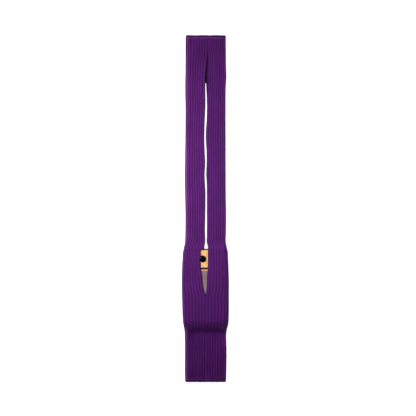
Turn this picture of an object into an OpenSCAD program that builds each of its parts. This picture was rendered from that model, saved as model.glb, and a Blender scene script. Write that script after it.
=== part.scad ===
// Stretching strap: a flat rib-knit tube closed at both ends, slit lengthwise into two legs that
// form a hand loop, with a rigid wood-and-grey board gripped in the pocket below the loop.
// Millimetres. It lies on its back: X across the strap, +Y toward the loop's seam, Z up.

/* [Strap] */
// Length of the flat strap, seam to seam
strap_l = 800; // [760:5:840]
// Width of the flat knit over both legs
strap_w = 93; // [90:0.5:96]
// Thickness of one layer of knit
layer_t = 2.8; // [2.4:0.1:3]
// Depth of the furrow between two ribs
rib_depth = 0.7; // [0.3:0.1:1]
// Knit ribs across one leg
leg_ribs = 8; // [6:1:10]
// Width of the gap between the legs
leg_gap = 5.3; // [5:0.1:8]
// Sideways offset of that gap from the middle
gap_x = 0.8; // [-2:0.1:2]

/* [Ends] */
// Distance from the middle of the strap to the top end of the front slit
front_slit_end = 361; // [350:1:370]
// Distance from the middle of the strap to the top end of the back slit
back_slit_end = 290; // [288:1:300]
// Length of the bound edge at each end
seam_l = 4.6; // [3:0.1:6]
// Number of stitches along each seam
stitches = 32; // [16:1:40]

/* [Board] */
// Length of the board
board_l = 166; // [160:1:168]
// Width of the board
board_w = 96; // [92:0.5:96]
// Thickness of the board
board_t = 18; // [14:0.5:18]
// Corner radius of the board
board_r = 10; // [8:0.5:20]
// Length of the bare wood panel at the top of the board
wood_l = 42.6; // [30:0.2:60]
// Thickness of the top panels set into the board
panel_t = 5; // [3:0.5:7]

/* [Knob] */
// Diameter of the domed knob
knob_d = 15.6; // [10:0.2:16]
// Height of the knob above the wood
knob_h = 5; // [4:0.5:6]

/* [Hidden] */
eps = 0.02;
$fn = 48;
half_l = strap_l / 2;
half_w = strap_w / 2;
// two layers of knit with a little air between them
tube_h = 2 * layer_t + 0.4;
mid_h = tube_h / 2;
// the board lies on the back layer
board_top_y = -92.4;
board_y = board_top_y - board_l / 2;
board_z = layer_t + 0.1;
board_h = board_z + board_t;
front_h = board_h + 0.3 + layer_t;
// fold lines at both ends of the pocket
tail_fold_y = -302.6;
loop_fold_y = -54.4;
pocket_y0 = -297;
pocket_y1 = -60;
// the back slit starts under the board's end
back_slit_start = -98;
grip_y0 = 285;
// gap between the legs
gap_x0 = gap_x - leg_gap / 2;
gap_x1 = gap_x + leg_gap / 2;
// panels let into the top of the board, inside the rim that the dark band makes
rim = 2.4;
inlay = 4.2;
rail_l = 2.7;
wood_y1 = board_top_y - rim;
wood_y0 = wood_y1 - wood_l + rim;
inlay_y0 = wood_y0 - inlay;
rail_y0 = inlay_y0 - rail_l;
pad_y0 = board_top_y - board_l + rim;
panel_z = board_h - panel_t;
// knob on the wood panel: a straight rim under a dome
knob_x = -6.7;
knob_y = -114.8;
knob_rim = 1.6;
dome_h = knob_h - knob_rim;
dome_r = (pow(knob_d / 2, 2) + pow(dome_h, 2)) / (2 * dome_h);
dome_z = knob_h - dome_r;

// half-width of the pocket along the strap, as [y, half-width]
side_line = [
  [-297, 47], [-290, 47.2], [-284, 48.4], [-278, 50.2], [-270, 51.4], [-255, 52.3],
  [-243, 52.9], [-212, 53.4], [-171, 53.7], [-143, 53.2], [-115, 52.1], [-101, 51.4],
  [-94, 50.5], [-88, 48.8], [-80, 47.2], [-74, 46.5], [-60, 46.3]
];
// height of the front layer's face along the strap, as [y, z], from the flat tube up over the board
rise_line = [
  [-297, tube_h], [-286, tube_h + 0.4], [-280, 9.4], [-274, 14.4], [-268, 20], [-262.5, front_h],
  [-91, front_h], [-86, 21.5], [-78, 15], [-68, 8.5], [-62, 6.3], [-60, tube_h]
];
// outline of the front slit where the board shows through, as [x, y]
slit_line = [
  [-1.4, -197], [-3.7, -189], [-5.5, -180], [-7.6, -166], [-9.2, -148], [-11.2, -136],
  [-11.5, -125], [-12.9, -115], [-11.5, -105], [-11.4, -98], [-8, -93], [-2.7, -87],
  [gap_x0, -74], [gap_x0, -50], [gap_x1, -50], [gap_x1, -74], [5.8, -87], [5.3, -100],
  [5.3, -136], [3.7, -148], [3.2, -166], [3, -180], [1.4, -189]
];

// ---------- shared shapes ----------

// stands an (x, z) outline up and runs it from y0 to y1
module along_y(y0, y1) {
  translate([0, y1, 0])
    rotate([90, 0, 0])
      linear_extrude(y1 - y0)
        children();
}

// turns a (y, z) outline and runs it from x0 to x1
module along_x(x0, x1) {
  translate([x0, 0, 0])
    rotate([90, 0, 90])
      linear_extrude(x1 - x0)
        children();
}

// section of flat ribbed knit with n ribs on both faces, its fold edges rounded off
module ribbed_section(x0, x1, n) {
  pitch = (x1 - x0) / n;
  fold = mid_h * 0.55;
  top = [for (i = [1 : n - 1]) each [
    [x0 + i * pitch - 0.9, tube_h],
    [x0 + i * pitch, tube_h - rib_depth],
    [x0 + i * pitch + 0.9, tube_h]
  ]];
  bottom = [for (i = [1 : n - 1]) each [
    [x1 - i * pitch + 0.9, 0],
    [x1 - i * pitch, rib_depth],
    [x1 - i * pitch - 0.9, 0]
  ]];
  polygon(concat(
    [[x0, fold], [x0, tube_h - fold], [x0 + fold * 0.4, tube_h - fold * 0.4], [x0 + fold, tube_h]],
    top,
    [[x1 - fold, tube_h], [x1 - fold * 0.4, tube_h - fold * 0.4], [x1, tube_h - fold], [x1, fold]],
    [[x1 - fold * 0.4, fold * 0.4], [x1 - fold, 0]],
    bottom,
    [[x0 + fold, 0], [x0 + fold * 0.4, fold * 0.4]]
  ));
}

// flat knit from y0 to y1 with a half-round end about its fold line: side = -1 for y0, 1 for y1
module round_end(y0, y1, side) {
  fold_y = side < 0 ? y0 : y1;
  translate([fold_y, mid_h])
    circle(mid_h);
  translate([y0, 0])
    square([y1 - y0, tube_h]);
}

// side outline of the pocket, drawn in by t above and from z0 up
module pocket_side(t, z0) {
  polygon(concat(
    [[pocket_y0 - 1, z0]],
    [[pocket_y0 - 1, tube_h - t]],
    [for (p = rise_line) [p[0], p[1] - t]],
    [[pocket_y1 + 1, tube_h - t]],
    [[pocket_y1 + 1, z0]]
  ));
}

// plan outline of the pocket, drawn in by t
module pocket_plan(t) {
  last = len(side_line) - 1;
  polygon(concat(
    [for (p = side_line) [-(p[1] - t), p[0]]],
    [for (i = [last : -1 : 0]) [side_line[i][1] - t, side_line[i][0]]]
  ));
}

// cross outline of the pocket with its long edges eased
module pocket_cross() {
  w = 53.8;
  polygon([
    [-w, 2.2], [-w, front_h - 7], [-w + 1, front_h - 4], [-w + 3, front_h - 1.4],
    [-w + 6, front_h + eps], [w - 6, front_h + eps], [w - 3, front_h - 1.4],
    [w - 1, front_h - 4], [w, front_h - 7], [w, 2.2], [w - 0.7, 0.7], [w - 2.2, 0],
    [-w + 2.2, 0], [-w + 0.7, 0.7]
  ]);
}

// plan of the furrows between the pocket's ribs, which spread with its width
module furrow_plan() {
  n = 2 * leg_ribs;
  for (i = [1 : n - 1]) {
    u = 2 * i / n - 1;
    last = len(side_line) - 1;
    polygon(concat(
      [for (p = side_line) [u * p[1] - 0.7, p[0]]],
      [for (k = [last : -1 : 0]) [u * side_line[k][1] + 0.7, side_line[k][0]]]
    ));
  }
}

// plan of a board piece between two lines across the board, drawn in from the board's edge by t
module board_plan(y0, y1, t) {
  w = board_w - 2 * t;
  l = board_l - 2 * t;
  r = board_r - t;
  intersection() {
    union() {
      translate([-w / 2 + r, board_y - l / 2])
        square([w - 2 * r, l]);
      translate([-w / 2, board_y - l / 2 + r])
        square([w, l - 2 * r]);
      for (sx = [-1, 1], sy = [-1, 1])
        translate([sx * (w / 2 - r), board_y + sy * (l / 2 - r)])
          circle(r);
    }
    translate([-w, y0])
      square([2 * w, y1 - y0]);
  }
}

// a bar tack: a short row of dense stitches across the end of a slit
module tack(x, y, z, w) {
  translate([x - w / 2, y - 1.4, z])
    cube([w, 2.8, 0.5]);
  for (i = [0 : 6])
    translate([x - w / 2 + (i + 0.5) * w / 7, y - 1.2, z + 0.5])
      rotate([-90, 0, 0])
        cylinder(h = 2.4, d = 0.8);
}

// a row of short stitches lying on the knit's face
module stitch_row(y, z, x0, x1) {
  step = (x1 - x0) / stitches;
  for (i = [0 : stitches - 1])
    translate([x0 + (i + 0.15) * step, y, z + 0.35])
      rotate([0, 90, 0])
        cylinder(h = step * 0.7, d = 0.7, $fn = 16);
}

// ---------- pocket and what it holds ----------

// front layer of the pocket: ribbed, stretched over the board and open along the slit
module pocket_front() {
  color("#4a1a5e")
    difference() {
      union() {
        difference() {
          intersection() {
            linear_extrude(front_h + 1)
              pocket_plan(0);
            along_x(-60, 60)
              pocket_side(0, layer_t);
            along_y(pocket_y0, pocket_y1)
              pocket_cross();
          }
          furrows();
        }
        knob_bump(2.4, board_h);
      }
      intersection() {
        linear_extrude(front_h + 1)
          pocket_plan(layer_t);
        along_x(-60, 60)
          pocket_side(layer_t, 0);
      }
      knob_bump(0.35, board_h - 1);
      translate([0, 0, layer_t - 1])
        linear_extrude(front_h + 10)
          polygon(slit_line);
    }
}

// furrows between the ribs on the pocket's raised face
module furrows() {
  intersection() {
    linear_extrude(front_h + 1)
      furrow_plan();
    difference() {
      along_x(-60, 60)
        pocket_side(-1, layer_t + 2);
      along_x(-61, 61)
        pocket_side(rib_depth, layer_t);
    }
  }
}

// the knob's dome grown by t, above the height z0: the knit rides over its edge
module knob_bump(t, z0) {
  intersection() {
    translate([knob_x, knob_y, board_h + dome_z])
      sphere(dome_r + t);
    translate([knob_x - 20, knob_y - 20, z0])
      cube([40, 40, 20]);
  }
}

// back layer of the pocket, lying flat under the board
module pocket_back() {
  color("#43175a")
    difference() {
      intersection() {
        linear_extrude(layer_t)
          pocket_plan(0);
        along_y(pocket_y0, pocket_y1)
          pocket_cross();
      }
      translate([0, 0, -1])
        linear_extrude(1 + rib_depth)
          furrow_plan();
      translate([gap_x0, back_slit_start, -1])
        cube([leg_gap, pocket_y1 - back_slit_start + 1, layer_t + 2]);
    }
}

module slit_tack_lower() {
  color("#2c0f3c")
    tack(-1.4, -200, front_h, 7);
}

// core of the board, with a recess on top for the panels and a bore for the knob's insert
module board_core() {
  color("#c08a50")
    translate([0, 0, board_z])
      difference() {
        linear_extrude(board_t - panel_t)
          board_plan(pad_y0, wood_y1, rim);
        translate([knob_x, knob_y, board_t - panel_t - 9])
          cylinder(h = 10, d = 8);
      }
}

// dark band round the board's edge
module edge_band() {
  color("#2a0f08")
    translate([0, 0, board_z])
      linear_extrude(board_t)
        difference() {
          board_plan(board_y - board_l, board_y + board_l, 0);
          board_plan(board_y - board_l, board_y + board_l, rim);
        }
}

// bare wood face at the top of the board, drilled for the screw
module wood_panel() {
  color("#f6c07c")
    translate([0, 0, panel_z])
      difference() {
        linear_extrude(panel_t)
          board_plan(wood_y0, wood_y1, rim);
        translate([knob_x, knob_y, -1])
          cylinder(h = panel_t + 2, d = 4.1);
      }
}

module dark_inlay() {
  color("#2a0902")
    translate([0, 0, panel_z])
      linear_extrude(panel_t)
        board_plan(inlay_y0, wood_y0, rim);
}

module wood_rail() {
  color("#eebb7c")
    translate([0, 0, panel_z])
      linear_extrude(panel_t)
        board_plan(rail_y0, inlay_y0, rim);
}

// grey covering on the lower part of the board
module grey_pad() {
  color("#8c757a")
    translate([0, 0, panel_z])
      linear_extrude(panel_t)
        board_plan(pad_y0, rail_y0, rim);
}

// domed knob on a short collar, turned about its own axis
module knob() {
  color("#0a080a")
    translate([knob_x, knob_y, board_h])
      difference() {
        intersection() {
          cylinder(h = knob_h, d = knob_d);
          translate([0, 0, dome_z])
            sphere(dome_r);
        }
        difference() {
          translate([0, 0, -1])
            cylinder(h = 1.6, d = knob_d + 2);
          translate([0, 0, -2])
            cylinder(h = 4, d = knob_d - 1.6);
        }
        translate([0, 0, -1])
          cylinder(h = 3.6, d = 4.04);
      }
}

// screw that holds the knob down on the wood
module knob_screw() {
  color("#b9b9be")
    translate([knob_x, knob_y, panel_z - 7])
      cylinder(h = panel_t + 7 + 2.4, d = 4);
}

// threaded insert let into the board's core
module screw_insert() {
  color("#b89a4a")
    translate([knob_x, knob_y, panel_z - 9])
      difference() {
        cylinder(h = 9, d = 8);
        translate([0, 0, 1.5])
          cylinder(h = 9, d = 4.04);
      }
}

// ---------- tail ----------

// flat knit tube below the board
module tail_knit() {
  color("#3d1251")
    difference() {
      intersection() {
        along_y(-half_l + seam_l, tail_fold_y + mid_h)
          ribbed_section(-half_w - 0.8, half_w + 0.8, 2 * leg_ribs);
        along_x(-60, 60)
          round_end(-half_l + seam_l, tail_fold_y, 1);
      }
      translate([-half_w + layer_t, -half_l, mid_h - 0.2])
        cube([strap_w - 2 * layer_t, half_l + tail_fold_y, 0.4]);
    }
}

// bound edge that closes the tail
module bottom_seam() {
  color("#2a0b3a")
    along_x(-half_w, half_w + 1)
      translate([-half_l, 0.3])
        polygon([
          [0, 1.6], [0.5, 0.6], [1.6, 0], [seam_l, 0], [seam_l, tube_h - 0.6],
          [1.6, tube_h - 0.6], [0.5, tube_h - 1.2], [0, tube_h - 2.2]
        ]);
}

module bottom_stitching() {
  color("#6a3a80") {
    stitch_row(-half_l + 6.7, tube_h, -half_w + 2, half_w - 2);
    stitch_row(-half_l + 11, tube_h, -half_w + 2, half_w - 2);
  }
}

// ---------- legs of the hand loop ----------

// one leg: the slit tube's front and back layers, joined along the outer fold
module leg(x0, x1, outer) {
  difference() {
    intersection() {
      along_y(loop_fold_y - mid_h, grip_y0 - 0.3)
        ribbed_section(x0, x1, leg_ribs);
      along_x(-60, 60)
        round_end(loop_fold_y, grip_y0 - 0.3, -1);
    }
    translate([outer < 0 ? x0 + layer_t : x0 - 1, loop_fold_y, mid_h - 0.2])
      cube([x1 - x0 - layer_t + 1, grip_y0 - loop_fold_y, 0.4]);
  }
}

module left_leg() {
  color("#59266b")
    leg(-half_w + 0.2, gap_x0, -1);
}

module right_leg() {
  color("#542368")
    leg(gap_x1, half_w, 1);
}

// ---------- grip end ----------

// flat knit tube above the legs, whose front layer is slit further up than the back
module top_band() {
  color("#4c1b60")
    difference() {
      along_y(grip_y0, half_l - seam_l)
        ribbed_section(-half_w + 0.6, half_w + 0.2, 2 * leg_ribs);
      translate([-half_w + layer_t + 0.6, grip_y0 - 1, mid_h - 0.2])
        cube([strap_w - 2 * layer_t - 1, half_l - grip_y0 + 2, 0.4]);
      translate([0, 0, mid_h])
        linear_extrude(tube_h)
          polygon([
            [gap_x0, grip_y0 - 1], [gap_x0 + 0.6, back_slit_end], [1.6, front_slit_end],
            [3.2, front_slit_end], [gap_x1 + 0.6, back_slit_end], [gap_x1, grip_y0 - 1]
          ]);
      translate([0, 0, -1])
        linear_extrude(mid_h + 1)
          polygon([
            [gap_x0, grip_y0 - 1], [-0.6, back_slit_end], [0.8, back_slit_end],
            [gap_x1, grip_y0 - 1]
          ]);
    }
}

// bound edge that closes the loop end
module top_seam() {
  color("#2a0b3a")
    along_x(-half_w + 1, half_w)
      translate([half_l - seam_l, 0.3])
        polygon([
          [0, 0], [seam_l - 1.6, 0], [seam_l - 0.5, 0.6], [seam_l, 1.6],
          [seam_l, tube_h - 2.2], [seam_l - 0.5, tube_h - 1.2], [seam_l - 1.6, tube_h - 0.6],
          [0, tube_h - 0.6]
        ]);
}

module top_stitching() {
  color("#6a3a80") {
    stitch_row(half_l - 5.4, tube_h, -half_w + 3, half_w - 2);
    stitch_row(half_l - 10, tube_h, -half_w + 3, half_w - 2);
  }
}

module slit_tack_upper() {
  color("#2c0f3c")
    tack(2.4, front_slit_end + 3, tube_h, 5);
}

// tack drawn tight across the end of the back slit, inside its thickness so the strap lies flat
module slit_tack_back() {
  color("#2c0f3c")
    translate([-0.5, back_slit_end - 1.5, 0.4])
      cube([1.2, 1.4, 2]);
}

pocket_front();
pocket_back();
slit_tack_lower();
board_core();
edge_band();
wood_panel();
dark_inlay();
wood_rail();
grey_pad();
knob();
knob_screw();
screw_insert();
tail_knit();
bottom_seam();
bottom_stitching();
left_leg();
right_leg();
top_band();
top_seam();
top_stitching();
slit_tack_upper();
slit_tack_back();
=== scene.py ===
import math

import bmesh
import bpy
import numpy as np
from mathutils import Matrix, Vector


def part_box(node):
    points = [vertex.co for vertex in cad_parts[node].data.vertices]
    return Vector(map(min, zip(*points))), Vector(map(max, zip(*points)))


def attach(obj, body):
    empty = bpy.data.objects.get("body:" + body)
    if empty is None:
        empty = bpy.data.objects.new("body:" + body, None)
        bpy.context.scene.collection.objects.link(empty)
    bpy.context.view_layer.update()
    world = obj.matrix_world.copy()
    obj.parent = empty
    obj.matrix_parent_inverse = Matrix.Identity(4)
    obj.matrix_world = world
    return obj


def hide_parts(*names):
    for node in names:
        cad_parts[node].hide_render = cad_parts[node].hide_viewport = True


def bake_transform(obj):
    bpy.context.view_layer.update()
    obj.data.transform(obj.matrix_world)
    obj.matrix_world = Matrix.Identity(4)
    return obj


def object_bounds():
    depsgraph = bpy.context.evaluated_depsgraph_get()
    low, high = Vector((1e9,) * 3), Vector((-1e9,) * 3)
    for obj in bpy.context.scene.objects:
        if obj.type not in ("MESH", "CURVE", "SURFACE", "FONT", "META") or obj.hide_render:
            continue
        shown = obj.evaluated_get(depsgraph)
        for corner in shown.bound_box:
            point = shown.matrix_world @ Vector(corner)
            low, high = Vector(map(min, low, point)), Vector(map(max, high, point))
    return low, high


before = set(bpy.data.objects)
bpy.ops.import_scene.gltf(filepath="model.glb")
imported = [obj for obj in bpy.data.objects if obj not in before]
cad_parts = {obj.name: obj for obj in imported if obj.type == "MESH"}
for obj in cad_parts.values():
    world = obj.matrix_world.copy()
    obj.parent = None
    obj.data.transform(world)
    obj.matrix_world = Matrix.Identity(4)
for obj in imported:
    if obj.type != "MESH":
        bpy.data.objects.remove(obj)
cad_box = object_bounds()


# ---------------------------------------------------------------- studio
# A white tabletop, lit by one soft lamp over the strap's left side, a weak cool one almost
# overhead and a weak warm one low on the left. The camera looks straight down on the strap,
# from far enough away that perspective hardly shows.

MM = 0.001
VIEW_WIDTH = 959.6 * MM
VIEW_CENTRE = (5.8 * MM, 1.4 * MM)
LENS, SENSOR = 100.0, 36.0
TABLE_HALF = 6.0
TABLE_GAP = 0.3 * MM


def add_object(name, data):
    """Puts a camera, a lamp or a mesh in the scene as an object."""
    item = bpy.data.objects.new(name, data)
    bpy.context.collection.objects.link(item)
    return item


camera = add_object("camera", bpy.data.cameras.new("camera"))
camera.data.lens = LENS
camera.data.sensor_width = SENSOR
camera.data.clip_end = 20.0
camera.location = (*VIEW_CENTRE, VIEW_WIDTH * LENS / SENSOR)
bpy.context.scene.camera = camera


def soft_light(name, place, aim, width, power, colour):
    """A round lamp at a place, turned toward its aim."""
    lamp = bpy.data.lights.new(name, "AREA")
    lamp.shape = "DISK"
    lamp.size = width
    lamp.energy = power
    lamp.color = colour
    away = np.array(place) - np.array(aim)
    length = np.linalg.norm(away)
    holder = add_object(name, lamp)
    holder.location = place
    holder.rotation_euler = (math.acos(away[2] / length), 0, math.atan2(away[1], away[0]) + math.pi / 2)
    holder.visible_camera = False


soft_light("key", (-0.34, 0.1, 0.47), (0, 0.06, 0), 0.32, 5.45, (1.0, 0.97, 0.99))
soft_light("right", (0.2, -0.08, 1.0), (0, 0, 0), 0.06, 1.1, (0.6, 0.7, 1.0))
soft_light("left", (-0.9, 0.0, 0.16), (0, 0, 0), 0.4, 0.8, (1.0, 0.68, 0.82))

world = bpy.data.worlds.new("studio")
bpy.context.scene.world = world
world.use_nodes = True
background = world.node_tree.nodes["Background"]
background.inputs["Color"].default_value = (1, 1, 1, 1)
background.inputs["Strength"].default_value = 0.05
bpy.context.scene.view_settings.view_transform = "Standard"


def put(tree, kind, **values):
    """Adds a node; a value whose name starts with a capital letter goes to that socket."""
    node = tree.nodes.new(kind)
    for name, value in values.items():
        if name[0].islower():
            setattr(node, name, value)
            continue
        socket = node.inputs[name.replace("_", " ")]
        if isinstance(value, bpy.types.NodeSocket):
            tree.links.new(value, socket)
        else:
            socket.default_value = value
    return node


def finish_of(name, roughness, **values):
    """A new material: returns it, its tree and its Principled shader."""
    material = bpy.data.materials.new(name)
    material.use_nodes = True
    tree = material.node_tree
    shader = tree.nodes["Principled BSDF"]
    shader.inputs["Roughness"].default_value = roughness
    for socket, value in values.items():
        shader.inputs[socket.replace("_", " ")].default_value = value
    return material, tree, shader


def math_node(tree, operation, *values, kind="ShaderNodeMath"):
    """One step of arithmetic on numbers and sockets: returns what it puts out."""
    node = tree.nodes.new(kind)
    node.operation = operation
    for socket, value in zip(node.inputs, values):
        if isinstance(value, bpy.types.NodeSocket):
            tree.links.new(value, socket)
        else:
            socket.default_value = value
    return node.outputs[0]


def two_tone(tree, shader, factor, dark, light, dark_at=0.0, light_at=1.0):
    """Runs the shader's base colour from dark to light as the factor rises."""
    ramp = put(tree, "ShaderNodeValToRGB", Fac=factor)
    for stop, place, colour in zip(ramp.color_ramp.elements, (dark_at, light_at), (dark, light)):
        stop.position = place
        stop.color = (*colour, 1)
    tree.links.new(ramp.outputs["Color"], shader.inputs["Base Color"])


floor_mesh = bpy.data.meshes.new("floor")
corners = [(x * TABLE_HALF, y * TABLE_HALF, 0) for x, y in ((-1, -1), (1, -1), (1, 1), (-1, 1))]
floor_mesh.from_pydata(corners, [], [(0, 1, 2, 3)])
floor = add_object("floor", floor_mesh)
floor.location.z = cad_box[0].z - TABLE_GAP
paper, tree, shader = finish_of("white_table", 0.9, Emission_Color=(1, 1, 1, 1), Emission_Strength=0.95)
speckle = put(tree, "ShaderNodeTexNoise", Scale=60.0, Detail=3.0)
two_tone(tree, shader, speckle.outputs["Fac"], (0.86, 0.86, 0.86), (0.9, 0.9, 0.9))
floor_mesh.materials.append(paper)


# ---------------------------------------------------------------- board
# A rigid board lies inside the knit. Its core is plywood, with a dark band glued round the edge
# and a threaded insert pressed in for the knob's screw.

board_low, board_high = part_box("edge_band")
panel_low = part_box("wood_panel")[0]
BOARD_R = 10 * MM
BAND = panel_low.x - board_low.x


def emboss(tree, shader, height, strength, depth):
    """Gives the shader a fine relief."""
    relief = put(tree, "ShaderNodeBump", Strength=strength, Distance=depth, Height=height)
    tree.links.new(relief.outputs["Normal"], shader.inputs["Normal"])


def mixed(tree, factor, first, second, blend_type="MIX"):
    """The first colour, mixed with the second as the factor rises."""
    node = put(tree, "ShaderNodeMix", data_type="RGBA", blend_type=blend_type, Factor=factor)
    for socket, value in zip(node.inputs[6:8], (first, second)):
        if isinstance(value, bpy.types.NodeSocket):
            tree.links.new(value, socket)
        else:
            socket.default_value = value
    return node.outputs[2]


def make_group(name, inputs, outputs):
    """A shader node group with named sockets: returns it, its input node and its output node."""
    group = bpy.data.node_groups.new(name, "ShaderNodeTree")
    for label, kind, value in inputs:
        socket = group.interface.new_socket(label, in_out="INPUT", socket_type=kind)
        if value is not None:
            socket.default_value = value
    for label, kind in outputs:
        group.interface.new_socket(label, in_out="OUTPUT", socket_type=kind)
    return group, group.nodes.new("NodeGroupInput"), group.nodes.new("NodeGroupOutput")


grain, ins, outs = make_group(
    "wood_grain",
    [
        ("Light", "NodeSocketColor", (0.9, 0.6, 0.3, 1)),
        ("Dark", "NodeSocketColor", (0.7, 0.4, 0.2, 1)),
        ("Stretch", "NodeSocketVector", (40.0, 400.0, 400.0)),
        ("Pores", "NodeSocketFloat", 0.3),
    ],
    [("Color", "NodeSocketColor"), ("Height", "NodeSocketFloat"), ("Roughness", "NodeSocketFloat")],
)
place = put(grain, "ShaderNodeTexCoord")
spread = math_node(
    grain, "MULTIPLY", place.outputs["Object"], ins.outputs["Stretch"], kind="ShaderNodeVectorMath"
)
bands = put(grain, "ShaderNodeTexNoise", Vector=spread, Scale=1.0, Detail=6.0, Roughness=0.62)
fine = put(grain, "ShaderNodeTexNoise", Vector=spread, Scale=6.5, Detail=3.0)
broad = math_node(grain, "MULTIPLY", bands.outputs["Fac"], 0.75)
shade = math_node(grain, "MULTIPLY_ADD", fine.outputs["Fac"], 0.35, broad)
darkness = put(grain, "ShaderNodeMapRange", Value=shade, From_Min=0.46, From_Max=0.65)
streaked = mixed(grain, darkness.outputs[0], ins.outputs["Light"], ins.outputs["Dark"])
pore = put(grain, "ShaderNodeTexNoise", Vector=spread, Scale=14.0, Detail=1.0)
pit = put(grain, "ShaderNodeMapRange", Value=pore.outputs["Fac"], From_Min=0.66, From_Max=0.76)
pit_weight = math_node(grain, "MULTIPLY", pit.outputs[0], ins.outputs["Pores"])
pitted = mixed(grain, pit_weight, streaked, (0.45, 0.28, 0.18, 1), blend_type="MULTIPLY")
grain.links.new(pitted, outs.inputs["Color"])
grain.links.new(math_node(grain, "SUBTRACT", shade, pit.outputs[0]), outs.inputs["Height"])
grain.links.new(math_node(grain, "MULTIPLY_ADD", shade, 0.25, 0.38), outs.inputs["Roughness"])


def wood_finish(name, light, dark, stretch, pores, depth):
    """Wood with its grain stretched along each axis, pores and a clear satin coat."""
    material, tree, shader = finish_of(name, 0.5, Coat_Weight=0.12, Coat_Roughness=0.35)
    pattern = put(
        tree, "ShaderNodeGroup", node_tree=grain, Light=light, Dark=dark, Stretch=stretch, Pores=pores
    )
    tree.links.new(pattern.outputs["Color"], shader.inputs["Base Color"])
    tree.links.new(pattern.outputs["Roughness"], shader.inputs["Roughness"])
    emboss(tree, shader, pattern.outputs["Height"], 0.5, depth)
    return material


def dress(node, material):
    """Gives a CAD node its material."""
    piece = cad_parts[node]
    piece.data.materials.clear()
    piece.data.materials.append(material)


plywood = wood_finish(
    "plywood_core", (0.62, 0.4, 0.2, 1), (0.4, 0.22, 0.1, 1), (30.0, 20.0, 1400.0), 0.2, 0.1 * MM
)
dress("board_core", plywood)

stain, tree, shader = finish_of("dark_edge_band", 0.75, Specular_IOR_Level=0.1)
mottle = put(tree, "ShaderNodeTexNoise", Scale=420.0, Detail=4.0)
two_tone(tree, shader, mottle.outputs["Fac"], (0.008, 0.001, 0.001), (0.022, 0.004, 0.002))
emboss(tree, shader, mottle.outputs["Fac"], 0.4, 0.1 * MM)
dress("edge_band", stain)

brass, tree, shader = finish_of("turned_brass", 0.32, Metallic=1.0)
rings = put(tree, "ShaderNodeTexWave", wave_type="BANDS", bands_direction="Z", Scale=600.0)
two_tone(tree, shader, rings.outputs["Fac"], (0.6, 0.43, 0.16), (0.75, 0.56, 0.24))
dress("screw_insert", brass)

steel, tree, shader = finish_of("plain_steel", 0.3, Metallic=1.0)
thread_wave = put(tree, "ShaderNodeTexWave", wave_type="BANDS", bands_direction="Z", Scale=900.0)
two_tone(tree, shader, thread_wave.outputs["Fac"], (0.42, 0.42, 0.44), (0.66, 0.66, 0.68))
dress("knob_screw", steel)


# ---------------------------------------------------------------- panels on the board
# Four panels are glued edge to edge on the core: pale wood under the knob, a dark inlay, a pale
# rail, and a grey covering on the rest. Their top edges are slightly eased.

EASE = 0.35 * MM
CORNER_R = BOARD_R - BAND
TOUCHING = 0.1 * MM
SCREW_HOLE_R = 2.05 * MM
DRILL_LENGTH = 80 * MM


def panel(name, node, material, bore=None):
    """A panel across the board: square where it meets its neighbour, rounded at the board's ends."""
    low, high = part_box(node)
    half = (high.x - low.x) / 2
    outline = []
    for y, inward, end in ((low.y, 1, board_low.y + BAND), (high.y, -1, board_high.y - BAND)):
        corner = [(half, y)]
        if abs(y - end) < TOUCHING:
            corner = [
                (half - CORNER_R * (1 - math.sin(t)), y + inward * CORNER_R * (1 - math.cos(t)))
                for t in np.linspace(0, math.pi / 2, 9)
            ]
        mirrored = [(-x, y) for x, y in corner]
        outline += mirrored[::-1] + corner if inward > 0 else corner[::-1] + mirrored
    mesh = bmesh.new()
    face = mesh.faces.new([mesh.verts.new((x, y, low.z)) for x, y in outline])
    grown = bmesh.ops.extrude_face_region(mesh, geom=[face])
    top = [v for v in grown["geom"] if isinstance(v, bmesh.types.BMVert)]
    bmesh.ops.translate(mesh, vec=(0, 0, high.z - low.z), verts=top)
    rim = [e for e in mesh.edges if all(v.co.z > high.z - EASE for v in e.verts)]
    bmesh.ops.bevel(mesh, geom=rim, offset=EASE, segments=3, profile=0.5, affect="EDGES")
    bmesh.ops.recalc_face_normals(mesh, faces=mesh.faces)
    data = bpy.data.meshes.new(name)
    mesh.to_mesh(data)
    mesh.free()
    data.materials.append(material)
    piece = add_object(name, data)
    if bore:
        drill(piece, *bore)
    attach(piece, "pocket")
    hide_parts(node)


def drill(piece, x, y, radius):
    """Drills a hole straight down through a piece."""
    rod = bmesh.new()
    bmesh.ops.create_cone(rod, cap_ends=True, segments=32, radius1=radius, radius2=radius, depth=DRILL_LENGTH)
    cutter_mesh = bpy.data.meshes.new("drill")
    rod.to_mesh(cutter_mesh)
    rod.free()
    cutter = add_object("drill", cutter_mesh)
    cutter.location = (x, y, 0)
    cut = piece.modifiers.new("bore", "BOOLEAN")
    cut.object = cutter
    cut.solver = "EXACT"
    bpy.context.view_layer.update()
    drilled = bpy.data.meshes.new_from_object(piece.evaluated_get(bpy.context.evaluated_depsgraph_get()))
    piece.modifiers.clear()
    piece.data = drilled
    bpy.data.objects.remove(cutter)


knob_low, knob_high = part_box("knob")
knob_x, knob_y = (knob_low.x + knob_high.x) / 2, (knob_low.y + knob_high.y) / 2

pale = wood_finish(
    "pale_wood", (0.98, 0.6, 0.22, 1), (0.66, 0.27, 0.09, 1), (300.0, 90.0, 300.0), 0.6, 0.15 * MM
)
panel("wood_face", "wood_panel", pale, bore=(knob_x, knob_y, SCREW_HOLE_R))
panel("inlay_strip", "dark_inlay", stain)
rail_wood = wood_finish(
    "rail_wood", (0.86, 0.47, 0.18, 1), (0.66, 0.32, 0.12, 1), (60.0, 420.0, 420.0), 0.5, 0.12 * MM
)
panel("wood_strip", "wood_rail", rail_wood)

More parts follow.
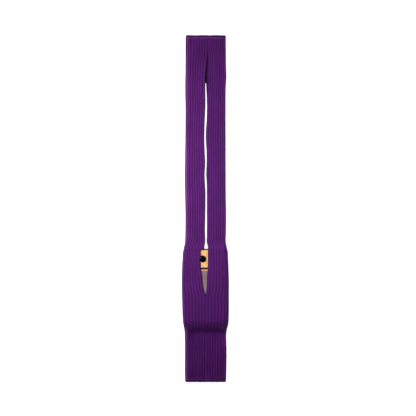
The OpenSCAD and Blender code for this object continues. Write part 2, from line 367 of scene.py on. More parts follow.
cover, tree, shader = finish_of("grey_cover", 0.78, Sheen_Weight=0.15, Sheen_Roughness=0.5)
place = put(tree, "ShaderNodeTexCoord")
nap = put(tree, "ShaderNodeTexNoise", Vector=place.outputs["Object"], Scale=900.0, Detail=3.0)
cloud = put(tree, "ShaderNodeTexNoise", Vector=place.outputs["Object"], Scale=55.0, Detail=2.0)
half_cloud = math_node(tree, "MULTIPLY", cloud.outputs["Fac"], 0.5)
weight = math_node(tree, "MULTIPLY_ADD", nap.outputs["Fac"], 0.5, half_cloud)
two_tone(tree, shader, weight, (0.18, 0.117, 0.127), (0.3, 0.203, 0.213), 0.3, 0.7)
emboss(tree, shader, nap.outputs["Fac"], 0.6, 0.12 * MM)
panel("grey_cover", "grey_pad", cover)


# ---------------------------------------------------------------- knob
# A moulded black knob with a low dome and a fine step round its foot, screwed down on the wood.

black, tree, shader = finish_of("black_gloss", 0.16, Specular_IOR_Level=0.04)
smudge = put(tree, "ShaderNodeTexNoise", Scale=260.0, Detail=4.0)
two_tone(tree, shader, smudge.outputs["Fac"], (0.0012, 0.001, 0.0016), (0.003, 0.003, 0.005))
gloss = put(tree, "ShaderNodeMapRange", Value=smudge.outputs["Fac"], To_Min=0.14, To_Max=0.22)
tree.links.new(gloss.outputs[0], shader.inputs["Roughness"])


def turned(name, profile, centre, material, sides=64):
    """A solid of revolution from (radius, height) points, closed on its axis at both ends."""
    mesh = bmesh.new()
    rings = []
    around = [2 * math.pi * i / sides for i in range(sides)]
    for r, z in profile:
        angles = around if r > 1e-6 else [0.0]
        points = [(centre[0] + r * math.cos(a), centre[1] + r * math.sin(a), centre[2] + z) for a in angles]
        rings.append([mesh.verts.new(point) for point in points])
    for a, b in zip(rings, rings[1:]):
        for i in range(sides):
            j = (i + 1) % sides
            if len(a) == 1:
                mesh.faces.new((a[0], b[i], b[j]))
            elif len(b) == 1:
                mesh.faces.new((a[i], b[0], a[j]))
            else:
                mesh.faces.new((a[i], a[j], b[j], b[i]))
    bmesh.ops.recalc_face_normals(mesh, faces=mesh.faces)
    for face in mesh.faces:
        face.smooth = True
    data = bpy.data.meshes.new(name)
    mesh.to_mesh(data)
    mesh.free()
    data.materials.append(material)
    return add_object(name, data)


knob_r = (knob_high.x - knob_low.x) / 2
knob_h = knob_high.z - knob_low.z
foot_r, foot_h = knob_r - 0.8 * MM, 0.55 * MM
bore_r, bore_h = 2.1 * MM, 2.6 * MM
rim_z = 1.6 * MM
underside = [(0, bore_h), (bore_r, bore_h), (bore_r, 0), (foot_r, 0), (foot_r, foot_h)]
rim = [(knob_r - 0.25 * MM, 0.65 * MM), (knob_r - 0.05 * MM, 0.85 * MM), (knob_r, 1.2 * MM)]
dome = [
    (knob_r * math.sin(a), rim_z + (knob_h - rim_z) * math.cos(a))
    for a in np.linspace(math.radians(88), 0, 18)
]
knob_profile = underside + rim + dome
knob = turned("domed_knob", knob_profile, (knob_x, knob_y, knob_low.z), black)
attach(knob, "pocket")
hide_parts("knob")


# ---------------------------------------------------------------- knit
# The strap is one flat tube of thick elastic rib knit. It is slit lengthwise through both layers
# to make two legs, and the slits stop short of the sewn ends. Each piece below is a run of the
# same tube, with a real thickness, its ribs in the mesh and its loops in the material.

# from here on, sizes are in millimetres, but for those times MM
RIBS = 8.5  # in a quarter of the tube
PER_RIB = 6  # columns of faces to a rib
RIB_BLOCK = 20.0  # each quarter counts its ribs from its own multiple of this
CREST_FULLNESS = 0.65
FURROW, FURROW_LOST = 0.66, 0.54  # a furrow's depth, and how much of it the stretch over the board takes
CLOTH = 2.6  # one layer's thickness
ROLL = CLOTH / 2 * 1.05
COURSE = 1.9  # one row of loops
FLAT_H = 6.0  # the flat tube
LOOSE, LAYER = 0.3, 2.8  # the slack between the board and the knit, and the layer's height on it
BOARD_H = (board_high.z + LOOSE * MM) / MM + LAYER
# a fold's radius on the flat tube, and what it gains over the board in the front and back layers
FOLD_R, FRONT_FOLD_GROWTH, BACK_FOLD_GROWTH = 3.0, 3.4, 0.6
# how far in from the fold the slack corner is full, how far it ends, and over what width
HANG_START, HANG_END, HANG_FADE = 7, 23, 13

strap_y0, strap_y1 = cad_box[0].y / MM, cad_box[1].y / MM

# each line below runs along the strap, as (y, value) points: first the x of the tube's two folds,
# then the x of the front slit's and the back slit's two edges
LEFT_FOLD = [
    (-400, -47.1), (-364, -47.6), (-309, -47.5), (-295, -47.9), (-281, -48.9), (-267, -51.0),
    (-254, -52.4), (-240, -53.2), (-212, -54.0), (-171, -54.6), (-143, -54.3), (-115, -53.1),
    (-101, -52.1), (-87, -49.5), (-74, -47.5), (-58, -47.1), (-18, -46.7), (37, -47.5), (79, -47.8),
    (162, -47.0), (231, -46.5), (272, -47.2), (332, -46.6), (400, -46.3),
]
RIGHT_FOLD = [
    (-400, 47.5), (-364, 48.3), (-337, 48.7), (-309, 48.1), (-295, 47.6), (-281, 48.9), (-267, 52.1),
    (-254, 53.3), (-240, 53.7), (-212, 53.9), (-171, 54.0), (-143, 53.2), (-115, 52.1), (-101, 51.4),
    (-87, 48.6), (-74, 46.6), (-58, 47.1), (-18, 47.6), (37, 46.9), (120, 46.5), (231, 46.3), (272, 46.6),
    (305, 48.0), (332, 47.4), (400, 46.8),
]
FRONT_LEFT_EDGE = [
    (-197, -1.2), (-189, -3.5), (-180, -5.4), (-166, -7.6), (-148, -9.2), (-136, -11.2), (-125, -11.5),
    (-115.1, -12.9), (-105, -11.5), (-98, -11.3), (-95, -10.2), (-90.5, -3.7), (-87, -2.2), (-74, -0.4),
    (-46, -0.9), (-18, -0.3), (37, 0.2), (51, -0.6), (79, -1.7), (106, -0.3), (134, -1.7), (162, -2.5),
    (189, -2.0), (217, -0.8), (245, 0.1), (272, -0.1), (290, -0.2), (305, 0.3), (325, 2.1), (345, 3.9),
    (361, 4.9),
]
FRONT_RIGHT_EDGE = [
    (-197, -1.2), (-189, 1.4), (-180, 2.9), (-166, 3.2), (-148, 3.8), (-136, 5.2), (-100, 5.4),
    (-90, 5.9), (-87, 5.3), (-74, 2.8), (-46, 3.0), (24, 3.0), (51, 2.8), (65, 2.1), (79, 1.2),
    (106, 2.5), (134, 1.9), (162, 0.5), (175, 0.6), (203, 2.3), (231, 3.0), (254, 3.5), (272, 4.6),
    (290, 5.4), (325, 5.8), (345, 5.8), (361, 4.9),
]
BACK_LEFT_EDGE = [
    (-100, 1.2), (-95, -2.2), (-88, -2.6), (-74, -1.2), (-46, -1.5), (37, -0.5), (79, -2.3), (106, -0.9),
    (162, -3.1), (217, -1.3), (272, -1.5), (284, -1.2), (290, -0.8),
]
BACK_RIGHT_EDGE = [
    (-100, 1.2), (-95, 5.4), (-88, 5.8), (-74, 3.3), (24, 3.5), (79, 1.8), (106, 3.0), (162, 1.1),
    (203, 2.7), (231, 3.2), (245, 3.0), (259, 2.6), (272, 2.0), (284, 1.4), (290, 0.8),
]
# the height of the tube's upper face, and of the slack corner where it hangs out past that
RISE = [
    (-400, 4.9), (-388, 5.8), (-378, FLAT_H), (-290.5, FLAT_H), (-287, 6.5), (-284.4, 7.4), (-282, 8.7),
    (-279.6, 10.4), (-277.2, 12.7), (-274.8, 15.0), (-272.4, 17.0), (-270, 18.8), (-267.6, 20.3),
    (-265.2, 21.5), (-262.9, 22.4), (-260.5, 23.2), (-258.4, 23.7), (-254, BOARD_H), (-97, BOARD_H),
    (-92.5, 23.75), (-87, 21.3), (-79, 15.8), (-70, 9.8), (-62, 6.8), (-54, FLAT_H), (378, FLAT_H),
    (389, 5.7), (400, 4.9),
]
SLACK = [
    (-400, 0), (-312, 0), (-306, FLAT_H), (-298, 7.2), (-288, 10.6), (-276, 16.0), (-264, 21.2),
    (-254, 23.5), (-240, 0), (400, 0),
]

# the quarters of the tube are named by their side, -1 for the left, and whether they are in front
SLIT_EDGES = {
    (-1, True): FRONT_LEFT_EDGE, (1, True): FRONT_RIGHT_EDGE,
    (-1, False): BACK_LEFT_EDGE, (1, False): BACK_RIGHT_EDGE,
}
FIRST_RIB = {(-1, True): 0, (1, True): RIB_BLOCK, (1, False): 2 * RIB_BLOCK, (-1, False): 3 * RIB_BLOCK}


def along(y, points):
    """A smooth line through (y, value) points that never swings past them."""
    at, value = np.array(points, float).T
    step = np.diff(at)
    rise = np.diff(value) / step
    slope = np.concatenate([[rise[0]], np.zeros(len(at) - 2), [rise[-1]]])
    same = rise[:-1] * rise[1:] > 0
    slope[1:-1][same] = 2 * rise[:-1][same] * rise[1:][same] / (rise[:-1][same] + rise[1:][same])
    i = np.clip(np.searchsorted(at, y) - 1, 0, len(at) - 2)
    t = np.clip((y - at[i]) / step[i], 0, 1)
    ends = (1 + 2 * t) * (1 - t) ** 2 * value[i] + t**2 * (3 - 2 * t) * value[i + 1]
    bends = t * (1 - t) ** 2 * step[i] * slope[i] + t**2 * (t - 1) * step[i] * slope[i + 1]
    return ends + bends


def value_at(y, points):
    """The value of such a line at a single y."""
    return along(np.array([y]), points)[0]


def rib_face(u):
    """Height of the ribs from 0 in a furrow to 1 on a crest; crests are at whole numbers."""
    wave = 0.5 + 0.5 * np.cos(2 * math.pi * u)
    return wave**CREST_FULLNESS


def wander(x, y, seed):
    """A slow, repeatable unevenness between about -1 and 1."""
    return (
        0.5 * np.sin(0.031 * y + 0.02 * x + seed)
        + 0.3 * np.sin(0.083 * y - 0.05 * x + 2.3 * seed)
        + 0.2 * np.sin(0.19 * y + 0.11 * x + 4.1 * seed)
    )


def quarter(y, share, side, front):
    """One quarter of the tube: from the fold (share 0) to its slit edge or middle (share 1).
    Gives the outer and inner points as (rows, columns, 3), and the rib number."""
    fold = along(y, LEFT_FOLD if side < 0 else RIGHT_FOLD)[:, None]
    open_edge = np.clip(gap_at(y, front) / ROLL, 0, 1)[:, None]
    edge = along(y, SLIT_EDGES[side, front])[:, None] + side * ROLL * open_edge
    top = along(y, RISE)[:, None]
    middle = top / 2
    lift = np.clip((top - FLAT_H) / (BOARD_H - FLAT_H), 0, 1)
    # from the fold the layer goes along a short upright wall, round a bend, then flat to its edge
    bend = np.minimum(middle, FOLD_R + (FRONT_FOLD_GROWTH if front else BACK_FOLD_GROWTH) * lift)
    wall = middle - bend
    flat = side * (fold - edge) - bend
    way = share[None, :] * (wall + bend * math.pi / 2 + flat)
    turn = np.clip((way - wall) / bend, 0, math.pi / 2)
    inward = bend - bend * np.cos(turn) + np.maximum(way - wall - bend * math.pi / 2, 0)
    height = middle - np.minimum(way, wall) - bend * np.sin(turn)
    x = fold - side * inward
    rows = np.broadcast_to(y[:, None], x.shape)
    normal_x = side * np.cos(turn)
    normal_z = -np.sin(turn)
    rise = 0
    if front:
        height = top - height
        normal_z = -normal_z
        rise = over_knob(x, rows, top - CLOTH)
        if side < 0:
            height = height + slack_corner(y, top, inward)
    sway = 0.05 * wander(x * 3, rows, 1.0 + side) * np.sin(math.pi * share[None, :])
    ribs = RIBS * share[None, :] + sway
    # the ribs are shallower where the knit is stretched, and beside a cut edge
    near_edge = np.clip(1 - (1 - share[None, :]) * RIBS / 0.5, 0, 1)
    depth = (FURROW - FURROW_LOST * lift) * (1 - 0.6 * open_edge * near_edge)
    sink = depth * (1 - rib_face(ribs)) + 0.1 * (1 + wander(x, rows, 5.0 + side))
    outer = np.stack([x - normal_x * sink, rows, height - normal_z * sink + rise], -1)
    inner = np.stack([x - normal_x * CLOTH, rows, height - normal_z * CLOTH + rise], -1)
    return outer, inner, FIRST_RIB[side, front] + ribs


def gap_at(y, front):
    """Width of the slit in the front or back layer at y, 0 where it is closed."""
    return along(y, SLIT_EDGES[1, front]) - along(y, SLIT_EDGES[-1, front])


def slack_corner(y, top, inward):
    """How far the front layer hangs out from the board's lower left corner, where it is slack."""
    slack = np.maximum(along(y, SLACK)[:, None] - top, 0)
    return slack * np.clip(inward / HANG_START, 0, 1) * np.clip((HANG_END - inward) / HANG_FADE, 0, 1)


def over_knob(x, y, inside):
    """How far the front layer is pushed up where the knob's edge is under it."""
    off_centre = (x - knob_x / MM) ** 2 + (y - knob_y / MM) ** 2
    push = knob_high.z / MM + 0.5 - off_centre / 20.0 - inside
    fade = np.exp(-np.maximum(off_centre - 200, 0) / 150)
    return 0.5 * (push + np.sqrt(push**2 + 1.0)) * fade


def rolled_edge(outer, inner, side):
    """The rounded edge of a cut layer, from its outer face to its inner face."""
    middle = (outer + inner) / 2
    half = (outer - inner) / 2
    size = np.linalg.norm(half, axis=-1, keepdims=True)
    bulge = np.array([side * ROLL, 0, 0]) * size / (CLOTH / 2)
    turns = np.linspace(0, math.pi, 7)[1:-1]
    return np.stack([middle + half * math.cos(t) + bulge * math.sin(t) for t in turns], 1)


def face_outward(mesh):
    """Turns every face of a closed mesh outward."""
    work = bmesh.new()
    work.from_mesh(mesh)
    bmesh.ops.recalc_face_normals(work, faces=work.faces)
    work.to_mesh(mesh)
    work.free()


def knit_run(name, y0, y1, step, whole, side=0):
    """A run of the knit between two y values, in rows about a step apart. A whole run is the
    tube, open only along its front slit; any other is the leg on one side, open along both."""
    y = np.linspace(y0, y1, max(3, int(round((y1 - y0) / step)) + 1))
    share = np.linspace(0, 1, int(RIBS * PER_RIB) + 1)
    # the walk round the tube: each quarter's side, layer, and whether it is taken from the fold
    if whole:
        order = [(-1, True, False), (-1, False, True), (1, False, False), (1, True, True)]
    else:
        order = [(side, True, False), (side, False, True)]
    walk = []
    for quarter_side, front, from_fold in order:
        strips = quarter(y, share, quarter_side, front)
        if not from_fold:
            strips = [strip[:, ::-1] for strip in strips]
        if walk:
            strips = [strip[:, 1:] for strip in strips]
        walk.append(strips)
    outer, inner, ribs = [np.concatenate(strips, 1) for strips in zip(*walk)]
    first_roll = rolled_edge(outer[:, 0], inner[:, 0], -order[0][0])
    last_roll = rolled_edge(outer[:, -1], inner[:, -1], -order[-1][0])
    # the loop goes along the outer face, over the last edge, back inside, and over the first edge
    loop = np.concatenate([outer, last_roll, inner[:, ::-1], first_roll[:, ::-1]], 1)
    n, roll_n = outer.shape[1], last_roll.shape[1]
    last_rib, first_rib = np.repeat(ribs[:, -1:], roll_n, 1), np.repeat(ribs[:, :1], roll_n, 1)
    loop_ribs = np.concatenate([ribs, last_rib, ribs[:, ::-1], first_rib], 1)
    rows, columns = loop.shape[:2]
    index = np.arange(rows * columns).reshape(rows, columns)
    beside = np.roll(index, -1, axis=1)
    faces = np.stack([index[:-1], beside[:-1], beside[1:], index[1:]], -1).reshape(-1, 4)
    # end walls join each outer point to the inner point behind it
    inside = n + roll_n + (n - 1 - np.arange(n))
    caps = []
    for row, flip in ((0, False), (rows - 1, True)):
        ring = index[row]
        for k in range(n - 1):
            quad = [ring[k], ring[inside[k]], ring[inside[k + 1]], ring[k + 1]]
            caps.append(quad[::-1] if flip else quad)
        for lip in (
            [ring[n - 1]] + [ring[n + i] for i in range(roll_n)] + [ring[inside[n - 1]]],
            [ring[inside[0]]] + [ring[inside[0] + 1 + i] for i in range(roll_n)] + [ring[0]],
        ):
            caps.append(lip if flip else lip[::-1])
    mesh = bpy.data.meshes.new(name)
    mesh.from_pydata((loop.reshape(-1, 3) * MM).tolist(), [], faces.tolist() + caps)
    mesh.polygons.foreach_set("use_smooth", [True] * len(faces) + [False] * len(caps))
    # the knit's chart counts ribs across and rows of loops along
    layer = mesh.uv_layers.new(name="knit")
    vertex = np.zeros(len(mesh.loops), int)
    mesh.loops.foreach_get("vertex_index", vertex)
    chart = np.stack([loop_ribs.reshape(-1), loop[..., 1].reshape(-1) / COURSE], -1)
    layer.data.foreach_set("uv", chart[vertex].ravel())
    face_outward(mesh)
    # the two ends are sharp, so that one run meets the next without a shaded seam
    row_of = np.arange(rows * columns) // columns
    ends = np.zeros((len(mesh.edges), 2), int)
    mesh.edges.foreach_get("vertices", ends.reshape(-1))
    sharp = (row_of[ends[:, 0]] == row_of[ends[:, 1]]) & np.isin(row_of[ends[:, 0]], (0, rows - 1))
    marks = mesh.attributes.get("sharp_edge") or mesh.attributes.new("sharp_edge", "BOOLEAN", "EDGE")
    marks.data.foreach_set("value", sharp)
    mesh.materials.append(knit)
    mesh.materials.append(knit_painted_shade)
    # the inner faces and the end walls get a darker copy of the knit, as painted shade inside the tube
    column = np.arange(columns)
    inner_face = (column >= n + roll_n) & (column < 2 * n + roll_n - 1)
    slots = np.ones(len(mesh.polygons), int)
    slots[: len(faces)] = np.tile(inner_face, rows - 1)
    mesh.polygons.foreach_set("material_index", slots)
    return add_object(name, mesh)


stitches, ins, outs = make_group(
    "knit_loops",
    [
        ("Crest", "NodeSocketColor", (0.1, 0.02, 0.16, 1)),
        ("Furrow", "NodeSocketColor", (0.04, 0.01, 0.07, 1)),
        ("Rubbed", "NodeSocketColor", (0.2, 0.05, 0.24, 1)),
        ("Wales", "NodeSocketFloat", 4.0),
        ("Unevenness", "NodeSocketFloat", 0.2),
    ],
    [("Color", "NodeSocketColor"), ("Height", "NodeSocketFloat"), ("Crests", "NodeSocketFloat")],
)
chart = put(stitches, "ShaderNodeUVMap", uv_map="knit")
parts = put(stitches, "ShaderNodeSeparateXYZ", Vector=chart.outputs["UV"])
rib_u, course = parts.outputs["X"], parts.outputs["Y"]
crest_wave = math_node(stitches, "COSINE", math_node(stitches, "MULTIPLY", rib_u, 2 * math.pi))
crests = math_node(stitches, "MULTIPLY_ADD", crest_wave, 0.5, 0.5)
# each wale is a column of loops, whose two legs lean together like a row of Vs
wale = math_node(stitches, "FRACT", math_node(stitches, "MULTIPLY", rib_u, ins.outputs["Wales"]))
lean = math_node(stitches, "ABSOLUTE", math_node(stitches, "SUBTRACT", wale, 0.5))
leaning = math_node(stitches, "MULTIPLY_ADD", lean, 1.3, course)
vees = math_node(stitches, "SINE", math_node(stitches, "MULTIPLY", leaning, 2 * math.pi))
split = math_node(stitches, "SINE", math_node(stitches, "MULTIPLY", lean, 2 * math.pi))
loops = math_node(stitches, "MULTIPLY_ADD", vees, 0.3, math_node(stitches, "MULTIPLY", split, 0.7))
place = put(stitches, "ShaderNodeTexCoord")
yarn = put(stitches, "ShaderNodeTexNoise", Vector=place.outputs["Object"], Scale=2600.0, Detail=2.0)
blotch = put(stitches, "ShaderNodeTexNoise", Vector=place.outputs["Object"], Scale=24.0, Detail=4.0)
lengthwise = math_node(
    stitches, "MULTIPLY", place.outputs["Object"], (170.0, 9.0, 170.0), kind="ShaderNodeVectorMath"
)
streak = put(stitches, "ShaderNodeTexNoise", Vector=lengthwise, Scale=1.0, Detail=2.0)
# painted shade darkens the fold itself, and a painted highlight makes the rib beside it paler, most of all on
# the left
from_fold = math_node(stitches, "MODULO", rib_u, RIB_BLOCK)
fold = put(stitches, "ShaderNodeMapRange", Value=from_fold, From_Min=0.8, From_Max=0.35)
from_highlit_rib = math_node(stitches, "ABSOLUTE", math_node(stitches, "SUBTRACT", from_fold, 1.3))
beside_fold = put(stitches, "ShaderNodeMapRange", Value=from_highlit_rib, From_Min=0.5, From_Max=0.15)
on_right = math_node(stitches, "GREATER_THAN", rib_u, 0.75 * RIB_BLOCK)
less_on_right = math_node(stitches, "MULTIPLY_ADD", on_right, -0.85, 1.0)
highlight_weight = math_node(stitches, "MULTIPLY", beside_fold.outputs[0], less_on_right)
crest_colour = mixed(stitches, highlight_weight, ins.outputs["Crest"], ins.outputs["Rubbed"])
# the furrows take the darker colour, as painted shade between the ribs
base = mixed(stitches, crests, ins.outputs["Furrow"], crest_colour)
# blotches, lengthwise streaks, the yarn and its loops make the colour uneven
streaks = math_node(stitches, "MULTIPLY", streak.outputs["Fac"], 0.8)
vary = math_node(stitches, "MULTIPLY_ADD", blotch.outputs["Fac"], 0.7, streaks)
vary = math_node(stitches, "MULTIPLY_ADD", yarn.outputs["Fac"], 0.5, vary)
vary = math_node(stitches, "MULTIPLY_ADD", loops, 0.12, math_node(stitches, "SUBTRACT", vary, 1.0))
gain = math_node(stitches, "MULTIPLY_ADD", vary, ins.outputs["Unevenness"], 1.0)
fold_shade = math_node(stitches, "MULTIPLY_ADD", fold.outputs[0], -0.5, 1.0)
gain = math_node(stitches, "MULTIPLY", gain, fold_shade)
toned = put(stitches, "ShaderNodeVectorMath", operation="SCALE", Vector=base, Scale=gain)
stitches.links.new(toned.outputs[0], outs.inputs["Color"])
fuzz = math_node(stitches, "MULTIPLY_ADD", yarn.outputs["Fac"], 0.35, loops)
stitches.links.new(fuzz, outs.inputs["Height"])
stitches.links.new(crests, outs.inputs["Crests"])


def knit_finish(name, crest, furrow, rubbed, unevenness):
    """Knit with colours for the crests, for the furrows, darker as painted shade, and for the painted
    highlight on the ribs beside the folds.
    """
    material, tree, shader = finish_of(
        name, 0.7, Specular_IOR_Level=0.15,
        Sheen_Weight=0.03, Sheen_Roughness=0.5, Sheen_Tint=(1, 0.7, 0.85, 1),
    )
    pattern = put(
        tree, "ShaderNodeGroup", node_tree=stitches, Crest=(*crest, 1), Furrow=(*furrow, 1),
        Rubbed=(*rubbed, 1), Unevenness=unevenness,
    )
    tree.links.new(pattern.outputs["Color"], shader.inputs["Base Color"])
    emboss(tree, shader, pattern.outputs["Height"], 0.8, 0.28 * MM)
    worn = put(tree, "ShaderNodeMapRange", Value=pattern.outputs["Crests"], To_Min=0.78, To_Max=0.62)
    tree.links.new(worn.outputs[0], shader.inputs["Roughness"])
    return material


# the paler colour beside the folds is a painted highlight, and the darker furrow colour is painted shade
# between the ribs
knit = knit_finish(
    "purple_rib_knit",
    crest=(0.095, 0.008, 0.15), furrow=(0.047, 0.0031, 0.077), rubbed=(0.23, 0.055, 0.235), unevenness=0.8,
)
# a darker copy of the knit: painted shade for the inner faces and end walls
shaded = (0.022, 0.0031, 0.037)
knit_painted_shade = knit_finish(
    "knit_painted_shade", crest=shaded, furrow=(0.013, 0.002, 0.022), rubbed=shaded, unevenness=0.4
)


# ---------------------------------------------------------------- pocket and tail
# The lower run of the tube: the plain tail below the board, and the pocket stretched over the
# board, open on its front along the lower end of the slit.

SEAM = 4.6  # the bound edge's depth
TUCK = 1.2  # how far the knit goes on under it
LOOP_START = -100.0
POCKET_STEP = 2.5

pocket_knit = knit_run("pocket_knit", strap_y0 + SEAM - TUCK, LOOP_START, POCKET_STEP, whole=True)
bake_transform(pocket_knit)
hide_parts("pocket_front", "pocket_back", "tail_knit")


# ---------------------------------------------------------------- legs
# Two legs of the tube, each with its fold outside and two cut edges inside, each made of a short run at the
# board's end and a long run above it.

LEG_START = -18.0
LOOP_END = 290.0
LEG_STEP = 4.0
for label, side, node in (("left", -1, "left_leg"), ("right", 1, "right_leg")):
    root = knit_run(f"{label}_leg_root", LOOP_START, LEG_START, POCKET_STEP, whole=False, side=side)
    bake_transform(root)
    leg = knit_run(f"{label}_leg_knit", LEG_START, LOOP_END, LEG_STEP, whole=False, side=side)
    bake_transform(leg)
    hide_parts(node)


# ---------------------------------------------------------------- grip end
# Above the legs the tube is whole again at the back, and its front slit runs a little further up
# before it closes under the sewn end.

GRIP_STEP = 3.0
grip_knit = knit_run("grip_knit", LOOP_END, strap_y1 - SEAM + TUCK, GRIP_STEP, whole=True)
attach(grip_knit, "grip_end")
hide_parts("top_band")


# ---------------------------------------------------------------- sewn ends
# Both ends of the tube are closed flat by an overlocked edge: dense dark thread wrapped round the
# two layers, drawn in a little at each rib, with rows of lockstitch through the knit beside it.

BINDING_Z = 2.6  # height of the binding's middle
CORNER_WIDTH = 3.8
WINDING_PITCH, WINDING_R = 1.5, 0.3
ROW_INSET = 2.2  # from the fold to a row's first stitch
END_WIDTH = 0.6  # of a thread's end, to its own width

binding, tree, shader = finish_of("overlock_thread", 0.85, Specular_IOR_Level=0.02)
place = put(tree, "ShaderNodeTexCoord")
across = math_node(
    tree, "MULTIPLY", place.outputs["Object"], (1500.0, 260.0, 260.0), kind="ShaderNodeVectorMath"
)
twist = put(tree, "ShaderNodeTexNoise", Vector=across, Scale=1.0, Detail=2.0)
two_tone(tree, shader, twist.outputs["Fac"], (0.018, 0.003, 0.032), (0.075, 0.014, 0.115), 0.3, 0.72)
emboss(tree, shader, twist.outputs["Fac"], 0.8, 0.25 * MM)

sewing, tree, shader = finish_of("sewing_thread", 0.7, Specular_IOR_Level=0.2)
ply = put(
    tree, "ShaderNodeTexWave", wave_type="BANDS", bands_direction="DIAGONAL", Scale=900.0, Distortion=1.5
)
two_tone(tree, shader, ply.outputs["Fac"], (0.28, 0.05, 0.32), (0.5, 0.14, 0.55))
emboss(tree, shader, ply.outputs["Fac"], 0.6, 0.1 * MM)


def thread_mesh(name, paths, radius, material, sides=7):
    """Round thread laid along each path, with closed, narrowed ends, as one mesh."""
    points, faces = [], []
    around = [2 * math.pi * k / sides for k in range(sides)]
    for path in paths:
        path = np.array(path, float)
        ahead = np.gradient(path, axis=0)
        ahead /= np.linalg.norm(ahead, axis=1, keepdims=True)
        start = len(points)
        last = start + (len(path) - 1) * sides
        across = np.cross(ahead[0], (0.13, 0.21, 1.0))
        for i, (centre, way) in enumerate(zip(path, ahead)):
            across = across - way * (across @ way)
            across /= np.linalg.norm(across)
            other = np.cross(way, across)
            r = radius * (END_WIDTH if i in (0, len(path) - 1) else 1.0)
            points += [centre + r * (across * math.cos(a) + other * math.sin(a)) for a in around]
        for ring in range(start, last, sides):
            for k in range(sides):
                a, b = ring + k, ring + (k + 1) % sides
                faces.append((a, b, b + sides, a + sides))
        faces.append(tuple(range(start + sides - 1, start - 1, -1)))
        faces.append(tuple(range(last, last + sides)))
    mesh = bpy.data.meshes.new(name)
    mesh.from_pydata([tuple(p * MM) for p in points], [], faces)
    for face in mesh.polygons:
        face.use_smooth = len(face.vertices) == 4
    mesh.materials.append(material)
    return add_object(name, mesh)


def bound_edge(name, node, body, end, outward, ruffle):
    """The overlocked edge across one end: a padded core with thread wound round it."""
    left, right = value_at(end, LEFT_FOLD), value_at(end, RIGHT_FOLD)
    around = 28
    x = np.linspace(left + 0.4, right - 0.4, 150)
    turn = np.linspace(0, 2 * math.pi, around, endpoint=False)
    pitch = (right - left) / (2 * RIBS)
    scallop = 0.5 + 0.5 * np.cos(2 * math.pi * (x - left) / pitch)
    corner = np.clip(np.minimum(x - left, right - x) / CORNER_WIDTH, 0, 1)
    corner = np.sqrt(1 - (1 - corner) ** 2 * 0.9)
    deep = (SEAM / 2 - 0.5 - ruffle + 0.7 * scallop + ruffle * wander(x, x * 6, 3.0)) * corner
    thick = (1.9 + 0.3 * scallop) * corner
    middle = end - outward * SEAM / 2
    rings = np.stack(
        [
            np.broadcast_to(x[:, None], (len(x), around)),
            middle + deep[:, None] * np.cos(turn)[None],
            BINDING_Z + thick[:, None] * np.sin(turn)[None],
        ],
        -1,
    )
    index = np.arange(len(x) * around).reshape(len(x), around)
    beside = np.roll(index, -1, axis=1)
    faces = np.stack([index[:-1], index[1:], beside[1:], beside[:-1]], -1).reshape(-1, 4).tolist()
    faces += [index[0].tolist(), index[-1][::-1].tolist()]
    mesh = bpy.data.meshes.new(name)
    mesh.from_pydata((rings.reshape(-1, 3) * MM).tolist(), [], faces)
    for face in mesh.polygons:
        face.use_smooth = len(face.vertices) == 4
    face_outward(mesh)
    mesh.materials.append(binding)
    core = add_object(name, mesh)
    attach(core, body)
    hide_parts(node)
    length = right - left - 3
    turns = int(length / WINDING_PITCH)
    t = np.linspace(0, turns, turns * 10)
    wound_x = left + 1.5 + length * t / turns
    wound_deep = np.interp(wound_x, x, deep) + 0.12
    wound_thick = np.interp(wound_x, x, thick) + 0.12
    angle = 2 * math.pi * t
    path = np.stack(
        [
            wound_x + 0.5 * np.sin(angle),
            middle + wound_deep * np.cos(angle),
            BINDING_Z + wound_thick * np.sin(angle),
        ],
        -1,
    )
    winding = thread_mesh(f"{name}_winding", [path], WINDING_R, binding, sides=6)
    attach(winding, body)


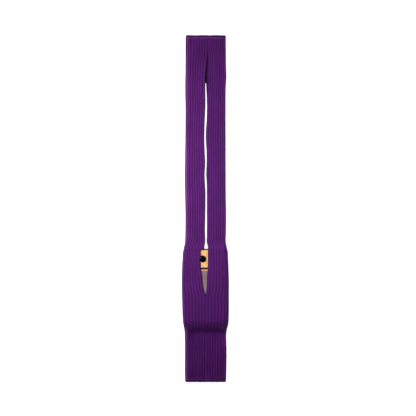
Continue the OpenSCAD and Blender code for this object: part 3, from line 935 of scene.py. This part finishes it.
def stitch_rows(name, node, body, rows, radius, sag):
    """Rows of lockstitch, each as (y, length, gap): every stitch dips into the knit at its ends."""
    paths = []
    t = np.linspace(0, 1, 6)
    for y, length, gap in rows:
        left, right = value_at(y, LEFT_FOLD) + ROW_INSET, value_at(y, RIGHT_FOLD) - ROW_INSET
        height = value_at(y, RISE) - 0.2 + 0.45 * np.sin(math.pi * t) ** 0.5
        count = int((right - left) / (length + gap))
        for i in range(count):
            x = left + i * (right - left) / count + t * length
            row = y - sag * np.sin(math.pi * (x - left) / (right - left))
            paths.append(np.stack([x, row, height], -1))
    piece = thread_mesh(name, paths, radius, sewing)
    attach(piece, body)
    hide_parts(node)


bound_edge("top_bound_edge", "top_seam", "grip_end", strap_y1, 1, ruffle=0.5)
top_rows = [(strap_y1 - 6, 1.9, 2.6), (strap_y1 - 8.6, 1.6, 3.4)]
stitch_rows("top_lockstitch", "top_stitching", "grip_end", top_rows, 0.55, 0)
bound_edge("bottom_bound_edge", "bottom_seam", "tail", strap_y0, -1, ruffle=0.2)
bottom_rows = [(strap_y0 + 6.7, 2.2, 0.7), (strap_y0 + 11, 1.7, 2.2)]
stitch_rows("bottom_lockstitch", "bottom_stitching", "tail", bottom_rows, 0.3, 0.2)


# ---------------------------------------------------------------- bar tacks
# A bar tack stops each end of a slit from running: a few long stitches across it, wound tightly
# with short ones.

TACK_ROW, TACK_PITCH, TACK_DEPTH = 0.6, 0.75, 2.7
FRONT_SINK = 0.35  # how far a tack is drawn into the front layer


def bar_tack(name, node, body, centre, width, height, front=True):
    """Three long stitches across a slit's end, wound with short ones on the layer's outer side."""
    x, y = centre
    paths = [
        [(x - width / 2, y + off, height), (x, y + off, height + 0.1), (x + width / 2, y + off, height)]
        for off in (-TACK_ROW, 0, TACK_ROW)
    ]
    count = int(width / TACK_PITCH)
    t = np.linspace(0, count, count * 8)
    angle = 2 * math.pi * t
    up = 1 if front else -1
    winding = [
        x - width / 2 + width * t / count,
        y + TACK_DEPTH / 2 * np.cos(angle),
        height + up * (0.12 + 0.42 * np.sin(angle)),
    ]
    paths.append(np.stack(winding, -1))
    piece = thread_mesh(name, paths, WINDING_R, binding, sides=6)
    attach(piece, body)
    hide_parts(node)


bar_tack("lower_bar_tack", "slit_tack_lower", "pocket", (-1.2, -198.2), 5.2, BOARD_H - FRONT_SINK)
bar_tack("upper_bar_tack", "slit_tack_upper", "grip_end", (4.9, 362.0), 4.6, FLAT_H - FRONT_SINK)
bar_tack("back_bar_tack", "slit_tack_back", "grip_end", (0.1, 290.6), 4.6, 0.5, front=False)
